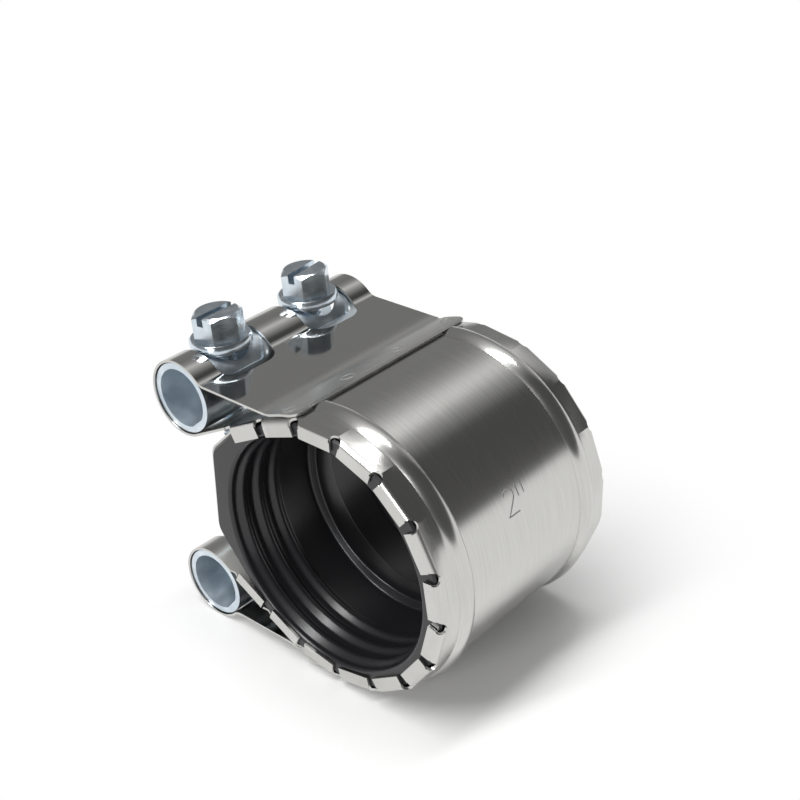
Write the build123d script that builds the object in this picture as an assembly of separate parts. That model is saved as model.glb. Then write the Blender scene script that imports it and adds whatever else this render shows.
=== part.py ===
from build123d import *
import os
from math import acos, atan2, cos, degrees, hypot, radians, sin, sqrt

# No-hub coupling for two-inch waste pipe: a rubber sleeve in a stainless band that two screws close.
# The pipe runs along Y, the screws stand up on the -X side, and the origin is on the pipe axis at
# mid-length. Sections are drawn in XZ about the middle of the band, then moved to the pipe axis.

# Pipe and rubber sleeve; the bore is off the band's centre, towards the gap between the band ends
pipe_diameter = 59.7
bore_clearance = 0.3
sleeve_wall = 3.8
bore_shift = 1.9
seal_rib_height = 1.1
seal_rib_base = 3.2
seal_rib_land = 1.1
seal_rib_spacing = 5.3
first_seal_rib = 3.6
seal_ribs_per_side = 3
stop_ring_height = 2.4
stop_ring_width = 6.6
mouth_chamfer = 0.6
sleeve_edge_chamfer = 0.5

# Band, with its width between the folds of its rims
band_width = 58.5
band_thickness = 0.6
sleeve_slack = 0.65
bead_height = 1.2
bead_width = 5.0
bead_inset = 7.0
bead_end_angle = 97.5
facet_length = 4.05
fold_inner_radius = 0.7
tab_depth = 4.0
tab_width = 9.6
tab_pitch = 12.82
near_tab_phase = 9.6
far_tab_phase = 5.2
notch_width = 3.3
notch_bite = 0.15
loop_margin = 3.0

# Folded plates over the band ends
plate_edge_angle = 99.0
plate_overhang = 0.45
plate_drop = 3.7
plate_corner_radius = 3.0
plate_dip_radius = 4.0
plate_foot_radius = 8.0
weld_gap = 0.1
weld_diameter = 3.2
weld_angle = 106.5
outer_weld_inset = 2.25
inner_weld_inset = 20.95

# Bars and the openings round the screws
bar_diameter = 18.0
bar_wall = 1.5
bar_inset = 0.4
upper_bar_gap = 10.37
lower_bar_gap = 7.82
bar_flat_depth = 0.4
upper_flat_angle = -50.0
lower_flat_angle = -40.0
bar_clearance = 0.3
opening_width = 17.0
opening_shift = 0.25
opening_corner_radius = 6.0
opening_reach = 12.2
opening_bottom_margin = 6.0

# Screws
screw_diameter = 6.35
screw_inset = 14.45
screw_tip_past = 3.4
screw_point_chamfer = 0.8
thread_clearance = 0.05
bar_hole_diameter = 13.0
bar_exit_hole_diameter = 8.0
seat_depth = 0.35
seat_margin = 0.6
seat_ring_diameter = 19.0
seat_ring_depth = 0.2
flange_diameter = 15.3
flange_thickness = 2.2
flange_edge_chamfer = 0.4
hex_across_flats = 11.1
hex_height = 6.4
hex_crown_chamfer = 0.9
hex_crown_inset = 0.3
slot_width = 1.9
slot_depth = 2.3
near_slot_turn = 0.0
far_slot_turn = 8.0
near_hex_turn = 5.0
far_hex_turn = 8.0

# Bridge plate behind the gap
bridge_thickness = 0.5
bridge_clearance = 0.15
bridge_inset = 0.25
bridge_lap = 4.0
bridge_upper_run = 13.4
bridge_lower_run = 8.1
bridge_upper_gap = 6.02
bridge_lower_gap = 5.16
bridge_upper_angle = 157.0
bridge_lower_angle = 190.9
bridge_bend_radius = 4.0
sleeve_clearance = 0.1
tab_clearance = 0.2

# Radii, from the pipe outwards
bore_radius = pipe_diameter / 2 + bore_clearance
sleeve_radius = bore_radius + sleeve_wall
band_inner = sleeve_radius + sleeve_slack
band_middle = band_inner + band_thickness / 2
band_radius = band_inner + band_thickness
cover_middle = band_radius + weld_gap + band_thickness / 2
bar_radius = bar_diameter / 2
loop_middle = bar_radius + bar_clearance + band_thickness / 2

# Places along the pipe axis, from the middle outwards
fold_start = band_width / 2
facet_start = fold_start - facet_length
bead_middle = fold_start - bead_inset
plate_edge = fold_start + plate_overhang
bar_end = plate_edge - bar_inset
fold_crest = fold_start + fold_inner_radius + band_thickness
sleeve_end = fold_crest - band_thickness - tab_clearance
screw_place = fold_start - screw_inset
screw_places = (-screw_place, screw_place)


def flip(point):
    """Point of the XZ section mirrored between the upper and the lower half."""
    return Vector(point.X, -point.Y)


def wrap_angle(bar_at):
    """Angle at which the band leaves its circle on a straight run that passes inside an upper bar."""
    bearing = degrees(atan2(bar_at.Y, bar_at.X))
    return bearing - degrees(acos((band_middle + loop_middle) / hypot(bar_at.X, bar_at.Y)))


# The loops round the bars are level with the crests of the beads.
bar_height = band_radius + bead_height - loop_middle - band_thickness / 2
upper_bar_at = Vector(-band_radius - upper_bar_gap, bar_height)
lower_bar_at = Vector(-band_radius - lower_bar_gap, -bar_height)
upper_wrap = wrap_angle(upper_bar_at)
lower_wrap = wrap_angle(flip(lower_bar_at))
plate_height = upper_bar_at.Y + loop_middle - plate_drop
bar_span = (upper_bar_at - lower_bar_at).length
bridge_inner = band_inner - bridge_clearance - bridge_thickness


def polar(radius, angle):
    """Point of the XZ section at a radius and an angle in degrees."""
    return Vector(radius * cos(radians(angle)), radius * sin(radians(angle)))


def arc(center, radius, start, end):
    """Arc about a centre from one angle to another, either way round."""
    return ThreePointArc(*(center + polar(radius, a) for a in (start, (start + end) / 2, end)))


def slab(face, start, end):
    """Solid of an XZ section between two places along the pipe axis."""
    return extrude(Plane.XZ.offset(-end) * face, amount=end - start)


def strip(path, thickness):
    """Section of a sheet of even thickness along a smooth path of lines and arcs."""
    sides = []
    for offset in (thickness / 2, -thickness / 2):
        side = []
        for edge in path:
            points = [edge @ u + (edge % u).rotate(Axis.Z, 90) * offset for u in (0, 0.5, 1)]
            straight = edge.geom_type == GeomType.LINE
            side.append(Line(points[0], points[2]) if straight else ThreePointArc(*points))
        sides.append(side)
    first, second = sides
    caps = [Line(first[0] @ 0, second[0] @ 0), Line(first[-1] @ 1, second[-1] @ 1)]
    return make_face(first + second + caps)


def inner_layer_point(place, out):
    """Point of the band's inner layer, a length along it from +X and a distance out of its middle."""
    wrap = upper_wrap if place > 0 else lower_wrap
    round_part = radians(wrap) * band_middle
    angle = min(abs(place), round_part) / band_middle
    beyond = max(abs(place) - round_part, 0)
    x = (band_middle + out) * cos(angle) - beyond * sin(angle)
    z = (band_middle + out) * sin(angle) + beyond * cos(angle)
    return Vector(x, z if place > 0 else -z)


def end_path(bar_at, wrap, start_place=None):
    """Path of an upper band end: along the shell, round the bar and back over it as a plate."""
    center = Vector(0, 0)
    tangent = polar(band_middle, wrap)
    if start_place is None:
        start = [arc(center, band_middle, bead_end_angle, wrap)]
        run_start = tangent
    else:
        start = []
        beyond = start_place - radians(wrap) * band_middle
        run_start = tangent + polar(beyond, wrap + 90)
    run_end = bar_at - polar(loop_middle, wrap)
    dip_z = plate_height + plate_dip_radius
    dip_x = bar_at.X + sqrt((loop_middle + plate_dip_radius) ** 2 - (dip_z - bar_at.Y) ** 2)
    dip_bearing = degrees(atan2(dip_z - bar_at.Y, dip_x - bar_at.X))
    foot_z = plate_height + plate_foot_radius
    foot_x = -sqrt((cover_middle + plate_foot_radius) ** 2 - foot_z ** 2)
    foot_bearing = degrees(atan2(foot_z, foot_x))
    return start + [
        Line(run_start, run_end),
        arc(bar_at, loop_middle, wrap - 180, dip_bearing - 360),
        arc(Vector(dip_x, dip_z), plate_dip_radius, dip_bearing + 180, 270),
        Line((dip_x, plate_height), (foot_x, plate_height)),
        arc(Vector(foot_x, foot_z), plate_foot_radius, 270, foot_bearing + 180),
        arc(center, cover_middle, foot_bearing, plate_edge_angle),
    ]


def beaded_shell():
    """Round middle of the band between the bead ends, with both rolled beads."""
    outer_arc = (bead_width ** 2 / 4 + bead_height ** 2) / (2 * bead_height)
    crown = band_radius + bead_height - outer_arc
    inner_arc = outer_arc - band_thickness
    inner_half = sqrt(inner_arc ** 2 - (band_inner - crown) ** 2)
    crest = band_radius + bead_height
    skins = ((band_radius, bead_width / 2, crest), (band_inner, inner_half, crest - band_thickness))
    edges = []
    for radius, half, top in skins:
        last = -facet_start
        for middle in (-bead_middle, bead_middle):
            edges.append(Line((radius, last), (radius, middle - half)))
            edges.append(ThreePointArc((radius, middle - half), (top, middle), (radius, middle + half)))
            last = middle + half
        edges.append(Line((radius, last), (radius, facet_start)))
    for end in (-facet_start, facet_start):
        edges.append(Line((band_inner, end), (band_radius, end)))
    section = Rot(0, bead_end_angle, 0) * make_face(edges)
    return revolve(section, Axis((0, 0, 0), (0, -1, 0)), 2 * bead_end_angle)


def notch_places(phase):
    """Lengths along the inner layer of the notches between the tabs of one rim."""
    reach = []
    for bar_at, wrap in ((lower_bar_at, lower_wrap), (upper_bar_at, upper_wrap)):
        away = hypot(bar_at.X, bar_at.Y)
        straight = sqrt(away ** 2 - (band_middle + loop_middle) ** 2)
        reach.append(radians(wrap) * band_middle + straight - loop_margin)
    first = -int((reach[0] + phase) / tab_pitch)
    last = int((reach[1] - phase) / tab_pitch)
    return [phase + k * tab_pitch for k in range(first, last + 1)]


def facet_sections(start, end):
    """Pairs of places that split a sector between two notches where the band leaves its circle."""
    leave = {1: radians(upper_wrap) * band_middle, -1: -radians(lower_wrap) * band_middle}
    cuts = [place for place in leave.values() if start < place < end]
    places = [start] + cuts + [end]
    return list(zip(places[:-1], places[1:]))


def facet(start, end, rim):
    """Walls of one sector, round where they leave the beads and flat at the fold of their tab."""
    half = band_thickness / 2
    corners = {out: (inner_layer_point(start, out), inner_layer_point(end, out)) for out in (half, -half)}
    round_end = {1: radians(upper_wrap) * band_middle, -1: radians(lower_wrap) * band_middle}
    walls = []
    for first, second in facet_sections(start, end):
        middle = (first + second) / 2
        base_edges = []
        rim_edges = []
        for out in (half, -half):
            curve = [inner_layer_point(place, out) for place in (first, middle, second)]
            is_round = abs(middle) < round_end[1 if middle > 0 else -1]
            base_edges.append(ThreePointArc(*curve) if is_round else Line(curve[0], curve[2]))
            chord_start, chord_end = corners[out]
            along = [(place - start) / (end - start) for place in (first, second)]
            chord = [chord_start + (chord_end - chord_start) * share for share in along]
            rim_edges.append(Line(*chord))
        faces = []
        for place, (outer, inner) in ((facet_start, base_edges), (fold_start, rim_edges)):
            caps = [Line(outer @ 0, inner @ 0), Line(outer @ 1, inner @ 1)]
            section = make_face([outer, inner] + caps)
            faces.append((Plane.XZ.offset(-rim * place) * section).face())
        walls.append(loft(faces, ruled=True))
    return walls


def tab(start, end, rim):
    """Tab of one sector, folded inward over a small bend at the rim."""
    half = band_thickness / 2
    outer = [inner_layer_point(place, half) for place in (start, end)]
    inner = [inner_layer_point(place, -half) for place in (start, end)]
    chord = outer[1] - outer[0]
    middle = (outer[0] + outer[1]) / 2
    along = Vector(chord.X, 0, chord.Y).normalized()
    outward = Vector(along.Z, 0, -along.X)
    wall = (outer[0] + outer[1] - inner[0] - inner[1]).length / 2
    plane = Plane(origin=(middle.X, rim * fold_start, middle.Y), x_dir=outward, z_dir=along * rim)
    bend_center = Vector(-wall - fold_inner_radius, 0)
    fold = fold_inner_radius + wall
    bend = make_face([
        Line((0, 0), (-wall, 0)),
        arc(bend_center, fold_inner_radius, 0, 90),
        Line((bend_center.X, fold_inner_radius), (bend_center.X, fold)),
        arc(bend_center, fold, 90, 0),
    ])
    leg = Polyline([(bend_center.X, fold_inner_radius), (-tab_depth, fold_inner_radius),
                    (-tab_depth, fold), (bend_center.X, fold)], close=True)
    width = min(tab_width, chord.length - notch_width)
    return [
        extrude(plane * bend, amount=chord.length / 2, both=True),
        extrude(plane * make_face(leg), amount=width / 2, both=True),
    ]


def notch(place, rim):
    """Round-bottomed notch through the bend between two tabs."""
    at = inner_layer_point(place, 0)
    outward = inner_layer_point(place, 1) - at
    radial = Vector(outward.X, 0, outward.Y)
    middle = Vector(at.X, rim * (fold_start - notch_bite + notch_width / 2), at.Y)
    plane = Plane(origin=middle + radial * (band_thickness * 2), z_dir=radial)
    depth = band_thickness * 2 + fold_inner_radius + band_thickness * 1.5
    return extrude(plane * Circle(notch_width / 2), amount=-depth)


def band_end(bar_at, wrap, rim_starts):
    """Upper band end: inner layer, loop round the bar, openings and the folded plate."""
    body = slab(strip(end_path(bar_at, wrap), band_thickness), -facet_start, facet_start)
    for rim, place in rim_starts.items():
        side = strip(end_path(bar_at, wrap, abs(place)), band_thickness)
        body += slab(side, *sorted((rim * facet_start, rim * plate_edge)))
    corner = polar(cover_middle, plate_edge_angle)
    corners = []
    for end in (-plate_edge, plate_edge):
        at = Vector(corner.X, end, corner.Y)
        corners.append(min(body.edges(), key=lambda edge: (edge.center() - at).length))
    body = fillet(corners, plate_corner_radius)
    for side in (-1, 1):
        for low, high, inner_end in (
            (bar_at.Y, bar_at.Y + bar_diameter, bar_at.X + opening_reach),
            (bar_at.Y - bar_diameter, bar_at.Y, bar_at.X + opening_bottom_margin),
        ):
            length = bar_diameter + inner_end - bar_at.X
            opening = RectangleRounded(length, opening_width, opening_corner_radius)
            middle = (inner_end - length / 2, side * (screw_place - opening_shift), low)
            body -= Pos(*middle) * extrude(opening, amount=high - low)
        for inset in (outer_weld_inset, inner_weld_inset):
            axis = polar(band_middle, weld_angle)
            radial = Vector(axis.X, 0, axis.Y).normalized()
            plane = Plane(origin=(axis.X, side * (fold_start - inset), axis.Y), z_dir=radial)
            body += extrude(plane * Circle(weld_diameter / 2), amount=cover_middle - band_middle)
    return body


def make_band():
    """The whole band, one piece of sheet with both ends folded back and spot-welded."""
    rims = {-1: notch_places(near_tab_phase), 1: notch_places(far_tab_phase)}
    upper_end = band_end(upper_bar_at, upper_wrap, {rim: places[-1] for rim, places in rims.items()})
    lower_end = band_end(flip(lower_bar_at), lower_wrap, {rim: places[0] for rim, places in rims.items()})
    pieces = [beaded_shell(), upper_end, mirror(lower_end, Plane.XY)]
    cuts = []
    for rim, places in rims.items():
        for start, end in zip(places[:-1], places[1:]):
            pieces += facet(start, end, rim) + tab(start, end, rim)
        cuts += [notch(place, rim) for place in places]
    band = pieces[0].fuse(*pieces[1:])
    return Pos(bore_shift, 0, 0) * (band - cuts)


def bridge_corners():
    """Corners of the bridge plate's section, from its upper end round to its lower end."""
    line = bridge_inner + bridge_thickness / 2

    def on_run(wrap, beyond):
        """Point on a straight end of the plate, a length beyond where the band leaves its circle."""
        return polar(line, wrap) + polar(beyond, wrap + 90)

    return [
        on_run(upper_wrap, bridge_lap),
        on_run(upper_wrap, bridge_upper_run),
        polar(sleeve_radius + bridge_upper_gap, bridge_upper_angle),
        polar(sleeve_radius + bridge_lower_gap, bridge_lower_angle),
        flip(on_run(lower_wrap, bridge_lower_run)),
        flip(on_run(lower_wrap, bridge_lap)),
    ]


def make_bridge():
    """Thin plate that closes the gap between the band ends, under both of them."""
    path = FilletPolyline(*bridge_corners(), radius=bridge_bend_radius)
    end = fold_start - bridge_inset
    return Pos(bore_shift, 0, 0) * slab(strip(path.edges(), bridge_thickness), -end, end)


def sleeve_outline():
    """Outside of the sleeve, round inside the band and filled out to the bridge plate at the gap."""
    corners = bridge_corners()
    size = 2 * sleeve_radius
    leave = min(polar(sleeve_radius, wrap).X for wrap in (upper_wrap, lower_wrap))
    outline = Circle(sleeve_radius) + Pos(leave - size / 2, 0) * Rectangle(size, size)
    for first, second in zip(corners[:-1], corners[1:]):
        along = second - first
        beyond = Pos(0, bridge_thickness / 2 + sleeve_clearance - size / 2) * Rectangle(2 * size, size)
        outline -= Pos(first.X, first.Y) * Rot(0, 0, degrees(atan2(along.Y, along.X))) * beyond
    bends = outline.vertices().sort_by_distance((0, 0))[2 - len(corners):]
    return fillet(bends, bridge_bend_radius).face()


def make_sleeve():
    """Rubber sleeve with seal ribs on both sides of a central stop ring in its bore."""
    ring = stop_ring_width / 2
    crest = bore_radius - seal_rib_height
    bore = [(0, sleeve_end), (bore_radius + mouth_chamfer, sleeve_end)]
    bore.append((bore_radius, sleeve_end - mouth_chamfer))
    for k in range(seal_ribs_per_side):
        middle = sleeve_end - first_seal_rib - k * seal_rib_spacing
        bore += [(bore_radius, middle + seal_rib_base / 2), (crest, middle + seal_rib_land / 2),
                 (crest, middle - seal_rib_land / 2), (bore_radius, middle - seal_rib_base / 2)]
    bore += [(bore_radius, ring), (bore_radius - stop_ring_height, ring - mouth_chamfer)]
    bore += [(radius, -place) for radius, place in reversed(bore)]
    core = revolve(make_face(Polyline(bore, close=True)), Axis.Y)
    body = slab(sleeve_outline(), -sleeve_end, sleeve_end)
    ends = body.edges().group_by(Axis.Y)
    body = chamfer(ends[0] + ends[-1], sleeve_edge_chamfer)
    return Pos(bore_shift, 0, 0) * body - core


def screw_plane(place):
    """Plane on the seat of a screw, with its normal up the screw through both bar centres."""
    along = upper_bar_at - lower_bar_at
    up = Vector(along.X, 0, along.Y).normalized()
    seat = Vector(upper_bar_at.X + bore_shift, place, upper_bar_at.Y) + up * (bar_radius - seat_depth)
    return Plane(origin=seat, x_dir=Vector(up.Z, 0, -up.X), z_dir=up)


def make_bar(bar_at, flat_angle):
    """Tube with a flat along its bore, before the screw holes."""
    bore_wall = bar_radius - bar_wall
    tube = Circle(bar_radius) - Circle(bore_wall)
    flat = Pos(bore_wall - bar_flat_depth + bar_wall / 2, 0) * Rectangle(bar_wall, bar_diameter)
    section = tube + Rot(0, 0, flat_angle) * (flat & Circle(bore_wall + bar_wall / 2))
    return Pos(bar_at.X + bore_shift, 0, bar_at.Y) * slab(section.face(), -bar_end, bar_end)


def make_upper_bar():
    """Tube that the screw heads pull on, with a pressed ring and a wide hole under each head."""
    bar = make_bar(upper_bar_at, upper_flat_angle)
    below = slab(Circle(bar_radius - seat_ring_depth).face(), -bar_end, bar_end)
    below = Pos(upper_bar_at.X + bore_shift, 0, upper_bar_at.Y) * below
    for place in screw_places:
        plane = screw_plane(place)
        ring = extrude(plane.offset(-bar_radius / 2) * Circle(seat_ring_diameter / 2), amount=bar_radius)
        bar -= ring - below
        bar -= extrude(plane * Circle(flange_diameter / 2 + seat_margin), amount=bar_radius)
        bar -= extrude(plane * Circle(bar_hole_diameter / 2), amount=-bar_radius)
        bar -= extrude(plane * Circle(bar_exit_hole_diameter / 2), amount=-2 * bar_diameter)
    return bar


def make_lower_bar():
    """Tube with a tapped hole for each screw in its upper wall."""
    bar = make_bar(lower_bar_at, lower_flat_angle)
    for place in screw_places:
        middle = screw_plane(place).offset(seat_depth - bar_radius - bar_span)
        hole = extrude(middle * Circle(screw_diameter / 2 + thread_clearance), amount=bar_diameter)
        bar -= hole
    return bar


def make_screw(place, slot_turn, hex_turn):
    """Slotted hex screw with a washer face under its head."""
    plane = screw_plane(place)
    length = bar_radius - seat_depth + bar_span + screw_tip_past
    shank = extrude(Circle(screw_diameter / 2), amount=-length)
    shank = chamfer(shank.edges().group_by(Axis.Z)[0], screw_point_chamfer)
    flange = extrude(Circle(flange_diameter / 2), amount=flange_thickness)
    flange = chamfer(flange.edges().group_by(Axis.Z)[-1], flange_edge_chamfer)
    corner_radius = hex_across_flats / sqrt(3)
    crown = extrude(Pos(0, 0, flange_thickness) * Circle(corner_radius), amount=hex_height)
    top_edge = crown.edges().group_by(Axis.Z)[-1]
    crown = chamfer(top_edge, hex_crown_chamfer, corner_radius - hex_across_flats / 2 + hex_crown_inset)
    flats = RegularPolygon(hex_across_flats / 2, 6, major_radius=False)
    head = crown & extrude(Rot(0, 0, hex_turn) * flats, amount=2 * hex_height)
    slot = Box(slot_width, 2 * corner_radius, 2 * slot_depth)
    head -= Pos(0, 0, flange_thickness + hex_height) * Rot(0, 0, slot_turn) * slot
    return plane * (shank + flange + head)


def main():
    os.makedirs("parts", exist_ok=True)
    nodes = {
        "band": make_band(),
        "bridge_plate": make_bridge(),
        "sleeve": make_sleeve(),
        "upper_bar": make_upper_bar(),
        "lower_bar": make_lower_bar(),
        "screw_near": make_screw(screw_places[0], near_slot_turn, near_hex_turn),
        "screw_far": make_screw(screw_places[1], far_slot_turn, far_hex_turn),
    }
    for name, node in nodes.items():
        export_step(node, f"parts/{name}.step")


main()
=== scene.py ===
import math

import bmesh
import bpy
from mathutils import Matrix, Vector
from mathutils.bvhtree import BVHTree


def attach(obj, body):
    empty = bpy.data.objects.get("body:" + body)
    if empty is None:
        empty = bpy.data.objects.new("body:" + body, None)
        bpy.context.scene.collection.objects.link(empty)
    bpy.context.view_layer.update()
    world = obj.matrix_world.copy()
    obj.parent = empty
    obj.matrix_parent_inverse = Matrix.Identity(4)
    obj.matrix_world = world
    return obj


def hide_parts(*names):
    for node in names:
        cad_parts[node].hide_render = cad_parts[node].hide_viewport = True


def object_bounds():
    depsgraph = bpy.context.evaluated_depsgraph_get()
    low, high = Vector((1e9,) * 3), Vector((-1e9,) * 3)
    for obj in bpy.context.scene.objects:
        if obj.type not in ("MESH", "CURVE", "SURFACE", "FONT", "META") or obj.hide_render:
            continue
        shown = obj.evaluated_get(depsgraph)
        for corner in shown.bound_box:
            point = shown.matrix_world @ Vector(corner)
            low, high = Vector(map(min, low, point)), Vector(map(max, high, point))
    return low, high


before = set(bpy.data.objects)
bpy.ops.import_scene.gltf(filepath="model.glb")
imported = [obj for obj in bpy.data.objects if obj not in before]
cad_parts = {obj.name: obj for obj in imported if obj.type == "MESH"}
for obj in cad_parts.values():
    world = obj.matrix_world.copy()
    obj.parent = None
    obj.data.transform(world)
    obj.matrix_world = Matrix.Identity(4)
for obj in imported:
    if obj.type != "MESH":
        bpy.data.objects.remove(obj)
cad_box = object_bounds()

MM = 0.001
WHITE = (1, 1, 1)
BLACK = (0, 0, 0)

# Camera, as the photograph was taken
CAMERA_AT = (0.19216, -0.20409, 0.18556)
CAMERA_AZIMUTH = math.radians(43.30)
CAMERA_ELEVATION = math.radians(29.47)
CAMERA_ROLL = math.radians(-3.545)
CAMERA_LENS = 62.47

# Band: the middle of its shell, and the outer faces of the shell and of the folded plates on it
BAND_X = 1.9 * MM
BAND_RADIUS = 35.2 * MM
COVER_RADIUS = 35.9 * MM

# Spot welds on the folded plates: degrees round the band from +X, and millimetres along the pipe
WELD_ANGLE = 106.5
WELD_PLACES = (-27.0, -8.3, 8.3, 27.0)
WELD_RADIUS = 1.6
WELD_STEPS = 36
WELD_HALF_LINE = 0.25
WELD_LIP = 0.08

# Size mark: its place on the shell, and its strokes in millimetres along the pipe, then round it
MARK_ANGLE = 23.5
MARK_PLACE = -1.8
MARK_HALF_LINE = 0.2
MARK_LIP = 0.07
MARK_STEP = 0.4
NUMERAL_BOW_MIDDLE = (-1.1, 1.5)
NUMERAL_BOW_RADIUS = 1.6
NUMERAL_BOW_ANGLES = (165, -35)
NUMERAL_BOW_STEPS = 16
NUMERAL_BASE = ((-2.9, -3.0), (0.9, -3.0))
INCH_MARKS = (((1.9, 0.2), (1.85, 3.35)), ((3.75, 0.2), (3.7, 3.35)))

# Cross-section of an engraved line: flush edges, two lips of full height and a groove between them
LINE_SECTION = ((-1.0, -0.2), (-0.62, 1.0), (0.0, 0.08), (0.62, 1.0), (1.0, -0.2))

# Sleeve, in millimetres: its ends, its seal ribs, and radius and place of the mouth and the stop ring
SLEEVE_END = 29.75
SLEEVE_BEVEL = 0.5
SLEEVE_STEPS = 360
BORE_RADIUS = 30.15
RIB_COUNT = 3
FIRST_RIB = 26.15
RIB_PITCH = 5.3
RIB_HEIGHT = 1.1
RIB_HALF_WIDTH = 2.2
RIB_STEPS = 20
MOUTH_PROFILE = ((30.95, SLEEVE_END), (30.62, 29.68), (30.38, 29.45), (30.2, 29.2), (BORE_RADIUS, 28.9))
STOP_RING_PROFILE = ((BORE_RADIUS, 4.2), (30.05, 3.6), (29.7, 3.3), (28.2, 2.9), (27.9, 2.75), (27.75, 2.4))

# Tube bars, and the radius that parts the duller inside of a tube from its outside
UPPER_BAR = Vector((-43.673, 0, 26.5)) * MM
LOWER_BAR_X = -41.117 * MM
TUBE_SATIN_RADIUS = 8.0 * MM

# Screws: their line, their seats on the upper bar, the thread and the flange
SCREW_AXIS = Vector((-0.048179, 0, 0.998839))
SCREW_ACROSS = Vector((SCREW_AXIS.z, 0, -SCREW_AXIS.x))
SCREW_BESIDE = SCREW_AXIS.cross(SCREW_ACROSS)
SEAT_OUT = 8.65 * MM
SCREW_PLACE = 14.8 * MM
SHANK_RADIUS = 3.175 * MM
SHANK_LENGTH = 65.11 * MM
THREAD_PITCH = 1.27 * MM
THREAD_DEPTH = 0.6 * MM
THREAD_START = 1.5 * MM
THREAD_STEPS = 32
THREAD_ROWS = 8
SCREW_POINT = 0.8 * MM
FLANGE_RADIUS = 7.65 * MM
FLANGE_THICKNESS = 2.2 * MM
FLANGE_CHAMFER = 0.4 * MM
FLANGE_STEPS = 72
HEAD_CUT_SLACK = 0.05 * MM

# Sheet roughness by share of half a turn from +X: shell, welded toe, polished plate, loop round the bar
SHELL_END = 0.545
TOE_START = 0.552
SHEET_ROUGHNESS = (
    (0.0, 0.21), (SHELL_END, 0.21),
    (TOE_START, 0.42), (0.635, 0.42),
    (0.665, 0.07), (0.77, 0.07),
    (0.8, 0.3), (1.0, 0.3),
)
BRUSHED_TINTS = ((0.3, (0.56, 0.555, 0.535)), (0.7, (0.63, 0.625, 0.605)))
SMOOTH_TINT = (0.595, 0.59, 0.57)
# Darker tints of the engraved and weld lines: painted shade in their grooves
GROOVE_SHADE_TINTS = ((0.3, (0.36, 0.36, 0.35)), (0.7, (0.46, 0.46, 0.45)))
RUBBER_TINT = (0.012, 0.012, 0.014)
ZINC_TINTS = ((0.3, (0.58, 0.66, 0.73)), (0.5, (0.66, 0.73, 0.79)), (0.7, (0.76, 0.82, 0.87)))
ZINC_ROUGHNESS = ((0.3, 0.15), (0.7, 0.28))
TUBE_ADDED_ROUGHNESS = 0.13
TUBE_INSIDE_ADDED_ROUGHNESS = 0.17

# Floor: its colour, and how white it is at a distance in metres from the object
FLOOR_HALF_SIZE = 3.0
FLOOR_COLOR = (0.8, 0.8, 0.795)
FLOOR_WHITENING = ((0.05, 0.04), (0.105, 1.0))

# Studio tones by degrees about the pipe from +X, and the white backdrop by height of the direction
STUDIO_TONES = (
    (-180, 0.5), (-5, 0.45), (0, 0.26), (13, 0.1), (68, 0.08), (87, 0.4),
    (101, 0.72), (115, 0.36), (129, 0.24), (165, 0.25), (180, 0.5),
)
BACKDROP_FADE = ((0.06, 1.0), (0.13, 0.0))

# Lamps: name, place, width and length in metres, and power in watts
LAMPS = (
    ("key", (-0.08, -0.3, 0.95), (0.12, 1.4), 13),
    ("front", (0.12, -0.95, 0.3), (0.22, 0.35), 3.5),
)


def add_camera():
    """Camera looking along its azimuth and elevation, turned by its roll about the line of sight."""
    data = bpy.data.cameras.new("camera")
    data.lens = CAMERA_LENS
    camera = bpy.data.objects.new("camera", data)
    bpy.context.collection.objects.link(camera)
    turn = (
        Matrix.Rotation(CAMERA_AZIMUTH, 4, "Z")
        @ Matrix.Rotation(math.pi / 2 - CAMERA_ELEVATION, 4, "X")
        @ Matrix.Rotation(CAMERA_ROLL, 4, "Z")
    )
    camera.matrix_world = Matrix.Translation(CAMERA_AT) @ turn
    bpy.context.scene.camera = camera


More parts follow.
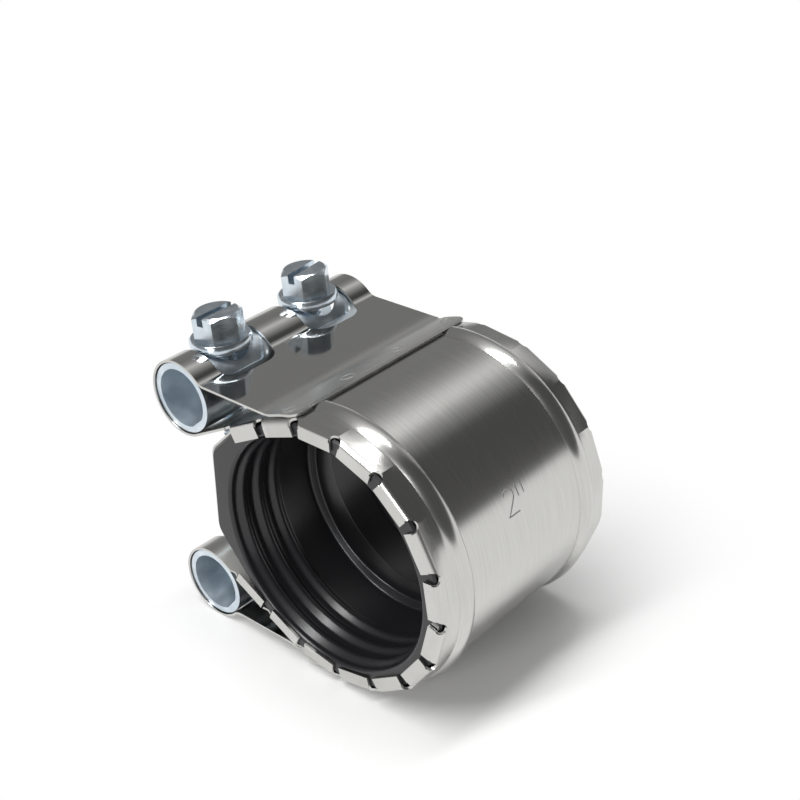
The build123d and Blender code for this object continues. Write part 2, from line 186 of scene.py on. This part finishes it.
class Graph:
    """Small helper that adds nodes to a material or world and links them."""

    def __init__(self, owner):
        owner.use_nodes = True
        self.tree = owner.node_tree
        self.shader = self.tree.nodes.get("Principled BSDF")

    def node(self, kind, **settings):
        node = self.tree.nodes.new("ShaderNode" + kind)
        for name, value in settings.items():
            setattr(node, name, value)
        return node

    def link(self, source, target):
        self.tree.links.new(source, target)

    def calculate(self, operation, *values):
        """Result of a Math node on numbers or other nodes' outputs."""
        node = self.node("Math", operation=operation)
        for socket, value in zip(node.inputs, values):
            if isinstance(value, (int, float)):
                socket.default_value = value
            else:
                self.link(value, socket)
        return node.outputs[0]

    def coordinates(self, kind):
        return self.node("TexCoord").outputs[kind]

    def components(self, vector):
        """The X, Y and Z outputs of a vector."""
        node = self.node("SeparateXYZ")
        self.link(vector, node.inputs[0])
        return node.outputs

    def ramp(self, source, stops):
        node = self.node("ValToRGB")
        elements = node.color_ramp.elements
        while len(elements) < len(stops):
            elements.new(0.5)
        for element, (place, color) in zip(elements, stops):
            element.position = place
            element.color = (*color, 1)
        self.link(source, node.inputs["Fac"])
        return node.outputs["Color"]

    def mix(self, share, first, second):
        """Blend from the first colour or output to the second by a share."""
        node = self.node("MixRGB")
        for socket, value in zip(node.inputs, (share, first, second)):
            if isinstance(value, tuple):
                socket.default_value = (*value, 1)
            else:
                self.link(value, socket)
        return node.outputs["Color"]

    def noise(self, scale, detail, stretch=(1, 1, 1)):
        mapping = self.node("Mapping")
        mapping.inputs["Scale"].default_value = stretch
        self.link(self.coordinates("Object"), mapping.inputs["Vector"])
        node = self.node("TexNoise")
        node.inputs["Scale"].default_value = scale
        node.inputs["Detail"].default_value = detail
        self.link(mapping.outputs["Vector"], node.inputs["Vector"])
        return node.outputs["Fac"]

    def background_rays(self):
        """One for camera, glossy and transmission rays, so that metal shows the background too."""
        path = self.node("LightPath")
        seen = self.calculate("MAXIMUM", path.outputs["Is Camera Ray"], path.outputs["Is Glossy Ray"])
        return self.calculate("MAXIMUM", seen, path.outputs["Is Transmission Ray"])

    def bump(self, height, strength, distance):
        node = self.node("Bump")
        node.inputs["Strength"].default_value = strength
        node.inputs["Distance"].default_value = distance
        self.link(height, node.inputs["Height"])
        self.link(node.outputs["Normal"], self.shader.inputs["Normal"])

    def connect(self, **sources):
        """Link outputs to the shader's sockets, named with underscores."""
        for name, source in sources.items():
            self.link(source, self.shader.inputs[name.replace("_", " ")])

    def set(self, **values):
        """Set constants on the shader's sockets, named with underscores."""
        for name, value in values.items():
            self.shader.inputs[name.replace("_", " ")].default_value = value


def new_material(name):
    material = bpy.data.materials.new(name)
    return material, Graph(material)


def greys(stops):
    """Ramp stops of grey from pairs of place and tone."""
    return tuple((place, (tone, tone, tone)) for place, tone in stops)


def stainless_sheet():
    """Brushed shell with its grain round the pipe, and brighter rolled plates past the bead ends."""
    material, graph = new_material("stainless")
    graph.set(Metallic=1.0, Anisotropic=0.75)
    axis = graph.node("CombineXYZ")
    axis.inputs["Y"].default_value = 1.0
    place = graph.components(graph.coordinates("Object"))
    angle = graph.calculate("ARCTAN2", place["Z"], place["X"])
    share = graph.calculate("DIVIDE", graph.calculate("ABSOLUTE", angle), math.pi)
    grain = graph.noise(scale=4200, detail=4.0, stretch=(0.02, 1.0, 0.02))
    on_plate = graph.ramp(share, greys(((SHELL_END, 0.0), (TOE_START, 1.0))))
    graph.connect(
        Tangent=axis.outputs[0],
        Roughness=graph.ramp(share, greys(SHEET_ROUGHNESS)),
        Base_Color=graph.mix(on_plate, graph.ramp(grain, BRUSHED_TINTS), SMOOTH_TINT),
    )
    graph.bump(graph.noise(scale=26, detail=1.0), strength=0.02, distance=0.4 * MM)
    return material


def marked_sheet():
    """Dull stainless of the engraved and welded lines, with a darker tint that is painted shade of their
    grooves.
    """
    material, graph = new_material("marked")
    graph.set(Metallic=1.0, Roughness=0.6)
    graph.connect(Base_Color=graph.ramp(graph.noise(scale=900, detail=2.0), GROOVE_SHADE_TINTS))
    return material


def rubber_black():
    """Smooth black rubber with a faint unevenness."""
    material, graph = new_material("rubber")
    graph.set(Base_Color=(*RUBBER_TINT, 1), Roughness=0.3)
    graph.bump(graph.noise(scale=500, detail=3.0), strength=0.25, distance=0.08 * MM)
    return material


def zinc_plate(name, tube_x=None):
    """Bluish plating with cloudy patches, satin on a tube whose axis is at tube_x and duller inside it."""
    material, graph = new_material(name)
    graph.set(Metallic=1.0)
    cloud = graph.noise(scale=300, detail=4.0)
    roughness = graph.ramp(cloud, greys(ZINC_ROUGHNESS))
    if tube_x is not None:
        place = graph.components(graph.coordinates("Object"))
        beside = graph.calculate("SUBTRACT", place["X"], tube_x)
        over = graph.calculate("SUBTRACT", graph.calculate("ABSOLUTE", place["Z"]), UPPER_BAR.z)
        squares = [graph.calculate("MULTIPLY", side, side) for side in (beside, over)]
        away = graph.calculate("SQRT", graph.calculate("ADD", *squares))
        inside = graph.calculate("LESS_THAN", away, TUBE_SATIN_RADIUS)
        inside = graph.calculate("MULTIPLY", inside, TUBE_INSIDE_ADDED_ROUGHNESS)
        roughness = graph.calculate("ADD", roughness, graph.calculate("ADD", inside, TUBE_ADDED_ROUGHNESS))
    graph.connect(Base_Color=graph.ramp(cloud, ZINC_TINTS), Roughness=roughness)
    graph.bump(graph.noise(scale=1500, detail=3.0), strength=0.3, distance=0.04 * MM)
    return material


def add_floor():
    """White floor that keeps the object's shadow and fades to plain white away from it."""
    material, graph = new_material("floor")
    graph.set(Roughness=0.8, Specular_IOR_Level=0.0, Emission_Color=(*WHITE, 1))
    distance = graph.node("VectorMath", operation="LENGTH")
    graph.link(graph.coordinates("Object"), distance.inputs[0])
    away = graph.ramp(distance.outputs["Value"], greys(FLOOR_WHITENING))
    white = graph.calculate("MULTIPLY", away, graph.background_rays())
    graph.connect(Base_Color=graph.mix(white, FLOOR_COLOR, BLACK), Emission_Strength=white)

    lowest = cad_box[0][2]
    mesh = bpy.data.meshes.new("floor")
    signs = ((-1, -1), (1, -1), (1, 1), (-1, 1))
    corners = [(x * FLOOR_HALF_SIZE, y * FLOOR_HALF_SIZE, lowest) for x, y in signs]
    mesh.from_pydata(corners, [], [(0, 1, 2, 3)])
    mesh.materials.append(material)
    floor = bpy.data.objects.new("floor", mesh)
    bpy.context.collection.objects.link(floor)


def add_lamp(name, at, size, power):
    """Soft rectangular lamp aimed at the object, long along the pipe."""
    data = bpy.data.lights.new(name, "AREA")
    data.shape = "RECTANGLE"
    data.size, data.size_y = size
    data.energy = power
    lamp = bpy.data.objects.new(name, data)
    lamp.location = at
    lamp.rotation_euler = (-Vector(at)).to_track_quat("-Z", "Y").to_euler()
    bpy.context.collection.objects.link(lamp)


def add_world():
    """White backdrop round the horizon, and grey studio tones over it by the angle about the pipe."""
    world = bpy.data.worlds.new("world")
    graph = Graph(world)
    place = graph.components(graph.coordinates("Generated"))
    angle = graph.calculate("ARCTAN2", place["Z"], place["X"])
    share = graph.calculate("DIVIDE", graph.calculate("ADD", angle, math.pi), 2 * math.pi)
    studio = graph.ramp(share, greys(((degrees + 180) / 360, tone) for degrees, tone in STUDIO_TONES))
    backdrop = graph.ramp(place["Z"], greys(BACKDROP_FADE))
    graph.link(graph.mix(backdrop, studio, WHITE), graph.tree.nodes["Background"].inputs["Color"])
    bpy.context.scene.world = world


def new_piece(name, verts, faces, material, smooth=True):
    mesh = bpy.data.meshes.new(name)
    mesh.from_pydata(verts, [], faces)
    mesh.validate()
    mesh.update()
    for polygon in mesh.polygons:
        polygon.use_smooth = smooth
    piece = bpy.data.objects.new(name, mesh)
    bpy.context.collection.objects.link(piece)
    mesh.materials.append(material)
    return piece


def sweep(rings, closed_path=False, closed_section=False):
    """Points, and faces between successive rings of points with the same count."""
    verts = [point for ring in rings for point in ring]
    count = len(rings[0])
    faces = []
    for k in range(len(rings) if closed_path else len(rings) - 1):
        following = (k + 1) % len(rings)
        for j in range(count if closed_section else count - 1):
            other = (j + 1) % count
            faces.append((k * count + j, k * count + other, following * count + other, following * count + j))
    return verts, faces


def merge(parts):
    """One list of points and one of faces from several such pairs."""
    verts, faces = [], []
    for part_verts, part_faces in parts:
        start = len(verts)
        verts += part_verts
        faces += [tuple(start + k for k in face) for face in part_faces]
    return verts, faces


def mark_sharp(piece):
    """Keep the shading of flat faces apart from that of the round ones beside them."""
    smoothness = {}
    for polygon in piece.data.polygons:
        for key in polygon.edge_keys:
            smoothness.setdefault(key, []).append(polygon.use_smooth)
    for edge in piece.data.edges:
        if not all(smoothness.get(tuple(sorted(edge.vertices)), [True])):
            edge.use_edge_sharp = True


def engraved_line(points, half_width, lip, place, closed=False):
    """Strip of an engraved line along flat points, each laid on its surface by place()."""
    rings = []
    for k, point in enumerate(points):
        before = points[k - 1] if k > 0 or closed else point
        after = points[(k + 1) % len(points)] if k < len(points) - 1 or closed else point
        along = Vector((after[0] - before[0], after[1] - before[1])).normalized()
        side = Vector((along.y, -along.x))
        rings.append([place(point[0] + side.x * u * half_width, point[1] + side.y * u * half_width, out * lip)
                      for u, out in LINE_SECTION])
    return sweep(rings, closed_path=closed)


def on_round(radius, angle, y_middle):
    """Function that lays flat millimetres on a round face: first along the pipe, then round it."""

    def place(along, up, out):
        turn = math.radians(angle) + up * MM / radius
        reach = radius + out * MM
        return (BAND_X + reach * math.cos(turn), (y_middle + along) * MM, reach * math.sin(turn))

    return place


def arc_points(middle, radius, start, end, steps):
    angles = [math.radians(start + (end - start) * k / steps) for k in range(steps + 1)]
    return [(middle[0] + radius * math.cos(a), middle[1] + radius * math.sin(a)) for a in angles]


def divided(line, step):
    """A line's points with more between them, at least a step apart."""
    points = []
    for first, second in zip(line[:-1], line[1:]):
        steps = max(1, int(math.dist(first, second) / step))
        for k in range(steps):
            share = k / steps
            points.append(tuple(a + (b - a) * share for a, b in zip(first, second)))
    return points + [line[-1]]


def add_size_mark(material):
    """The plain size numeral and its inch marks, engraved on the shell."""
    bow = arc_points(NUMERAL_BOW_MIDDLE, NUMERAL_BOW_RADIUS, *NUMERAL_BOW_ANGLES, NUMERAL_BOW_STEPS)
    place = on_round(BAND_RADIUS, MARK_ANGLE, MARK_PLACE)
    parts = [engraved_line(divided(line, MARK_STEP), MARK_HALF_LINE, MARK_LIP, place)
             for line in (bow + list(NUMERAL_BASE), *INCH_MARKS)]
    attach(new_piece("size_mark", *merge(parts), material), "coupling")


def add_weld_rings(material):
    """Rim of each spot weld on both folded plates."""
    circle = arc_points((0, 0), WELD_RADIUS, 0, 360, WELD_STEPS)[:-1]
    parts = []
    for angle in (WELD_ANGLE, -WELD_ANGLE):
        for y in WELD_PLACES:
            place = on_round(COVER_RADIUS, angle, y)
            parts.append(engraved_line(circle, WELD_HALF_LINE, WELD_LIP, place, closed=True))
    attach(new_piece("weld_rings", *merge(parts), material), "coupling")


def sleeve_reaches(steps):
    """Distances from the pipe axis to the outside of the CAD sleeve, at even steps round the axis."""
    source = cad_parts["sleeve"]
    corners = [source.matrix_world @ v.co for v in source.data.vertices]
    surface = BVHTree.FromPolygons(corners, [tuple(face.vertices) for face in source.data.polygons])
    reaches = []
    for k in range(steps):
        turn = 2 * math.pi * k / steps
        outward = Vector((math.cos(turn), 0, math.sin(turn)))
        hit = surface.ray_cast(outward, -outward)[0]
        reaches.append(hit.dot(outward) / MM)
    return reaches


def sleeve_bore():
    """Radius and place along the pipe of the sleeve's inside, from the far mouth to the near one."""
    bore = list(MOUTH_PROFILE)
    for k in range(RIB_COUNT):
        middle = FIRST_RIB - k * RIB_PITCH
        for j in range(RIB_STEPS + 1):
            share = 1 - 2 * j / RIB_STEPS
            rise = RIB_HEIGHT / 2 * (1 + math.cos(math.pi * share))
            bore.append((BORE_RADIUS - rise, middle + RIB_HALF_WIDTH * share))
    bore += STOP_RING_PROFILE
    return bore + [(radius, -y) for radius, y in reversed(bore)]


def add_sleeve(material):
    """Rubber sleeve with rounded ribs, in place of the plainer solid."""
    bore = sleeve_bore()
    side = SLEEVE_END - SLEEVE_BEVEL
    rings = []
    for k, reach in enumerate(sleeve_reaches(SLEEVE_STEPS)):
        turn = 2 * math.pi * k / SLEEVE_STEPS
        edge = reach - SLEEVE_BEVEL
        outer = [(edge, -SLEEVE_END), (reach, -side), (reach, side), (edge, SLEEVE_END)]
        rings.append([(r * MM * math.cos(turn), y * MM, r * MM * math.sin(turn)) for r, y in bore + outer])
    piece = new_piece("sleeve_rounded", *sweep(rings, closed_path=True, closed_section=True), material)

    # Both end faces and the bevels beside them are shaded flat
    near_end = len(bore) - 1
    flat_rows = (near_end, near_end + 1, near_end + 3, near_end + 4)
    for polygon in piece.data.polygons:
        polygon.use_smooth = polygon.index % len(rings[0]) not in flat_rows
    mark_sharp(piece)
    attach(piece, "coupling")
    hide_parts("sleeve")


def thread_radius(down, turns):
    """Radius of the threaded shank at a depth below the seat and a share of a turn round it."""
    wave = (down / THREAD_PITCH + turns) % 1.0
    depth = THREAD_DEPTH * (1 - abs(2 * wave - 1))
    fade = min(1.0, max(0.0, (down - THREAD_START) / THREAD_START))
    point = max(0.0, down - (SHANK_LENGTH - SCREW_POINT))
    return SHANK_RADIUS - depth * fade - point


def screw_ring(seat, radii, height):
    """Points round a screw at a height over its seat, one for each radius."""
    points = []
    for k, radius in enumerate(radii):
        turn = 2 * math.pi * k / len(radii)
        outward = SCREW_ACROSS * math.cos(turn) + SCREW_BESIDE * math.sin(turn)
        points.append(tuple(seat + SCREW_AXIS * height + outward * radius))
    return points


def screw_head(source, seat):
    """The CAD screw's hex head, without what lies below the top of the flange."""
    head = bmesh.new()
    head.from_mesh(source.data)
    head.transform(source.matrix_world)
    top = FLANGE_THICKNESS + HEAD_CUT_SLACK
    below = [face for face in head.faces if all((v.co - seat).dot(SCREW_AXIS) < top for v in face.verts)]
    bmesh.ops.delete(head, geom=below, context="FACES")
    head.verts.index_update()
    verts = [tuple(v.co) for v in head.verts]
    faces = [tuple(v.index for v in face.verts) for face in head.faces]
    head.free()
    return verts, faces


def screw_shank(seat):
    """Shank with a helical thread and a pointed end."""
    rows = int(SHANK_LENGTH / THREAD_PITCH * THREAD_ROWS)
    rings = []
    for row in range(rows + 1):
        down = SHANK_LENGTH * row / rows
        radii = [thread_radius(down, k / THREAD_STEPS) for k in range(THREAD_STEPS)]
        rings.append(screw_ring(seat, radii, -down))
    verts, faces = sweep(rings, closed_section=True)
    return verts, faces + [tuple(range(len(verts) - THREAD_STEPS, len(verts)))]


def add_threaded_screw(node, body, side, material):
    """Copy of a screw's hex head with a rounder flange and a helical thread under it."""
    seat = UPPER_BAR + Vector((0, side * SCREW_PLACE, 0)) + SCREW_AXIS * SEAT_OUT
    head = screw_head(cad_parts[node], seat)
    profile = (
        (FLANGE_RADIUS, 0.0),
        (FLANGE_RADIUS, FLANGE_THICKNESS - FLANGE_CHAMFER),
        (FLANGE_RADIUS - FLANGE_CHAMFER, FLANGE_THICKNESS),
    )
    rings = [screw_ring(seat, [radius] * FLANGE_STEPS, height) for radius, height in profile]
    flange_verts, rim = sweep(rings, closed_section=True)
    ends = [tuple(range(FLANGE_STEPS)), tuple(range(len(flange_verts) - FLANGE_STEPS, len(flange_verts)))]
    parts = (head, (flange_verts, rim + ends), screw_shank(seat))
    piece = new_piece(node + "_threaded", *merge(parts), material, smooth=False)
    head_count = len(head[1])
    for k in range(head_count, head_count + len(rim)):
        piece.data.polygons[k].use_smooth = True
    mark_sharp(piece)
    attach(piece, body)
    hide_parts(node)


add_camera()
add_floor()
add_world()
for lamp in LAMPS:
    add_lamp(*lamp)

stainless = stainless_sheet()
marked = marked_sheet()
rubber = rubber_black()
zinc = zinc_plate("zinc")
finishes = {
    "band": stainless,
    "bridge_plate": stainless,
    "sleeve": rubber,
    "upper_bar": zinc_plate("upper_zinc", UPPER_BAR.x),
    "lower_bar": zinc_plate("lower_zinc", LOWER_BAR_X),
    "screw_near": zinc,
    "screw_far": zinc,
}
for node, material in finishes.items():
    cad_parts[node].data.materials.clear()
    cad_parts[node].data.materials.append(material)
add_size_mark(marked)
add_weld_rings(marked)
add_sleeve(rubber)
add_threaded_screw("screw_near", "near_screw", -1, zinc)
add_threaded_screw("screw_far", "far_screw", 1, zinc)

bpy.context.scene.view_settings.view_transform = "Standard"
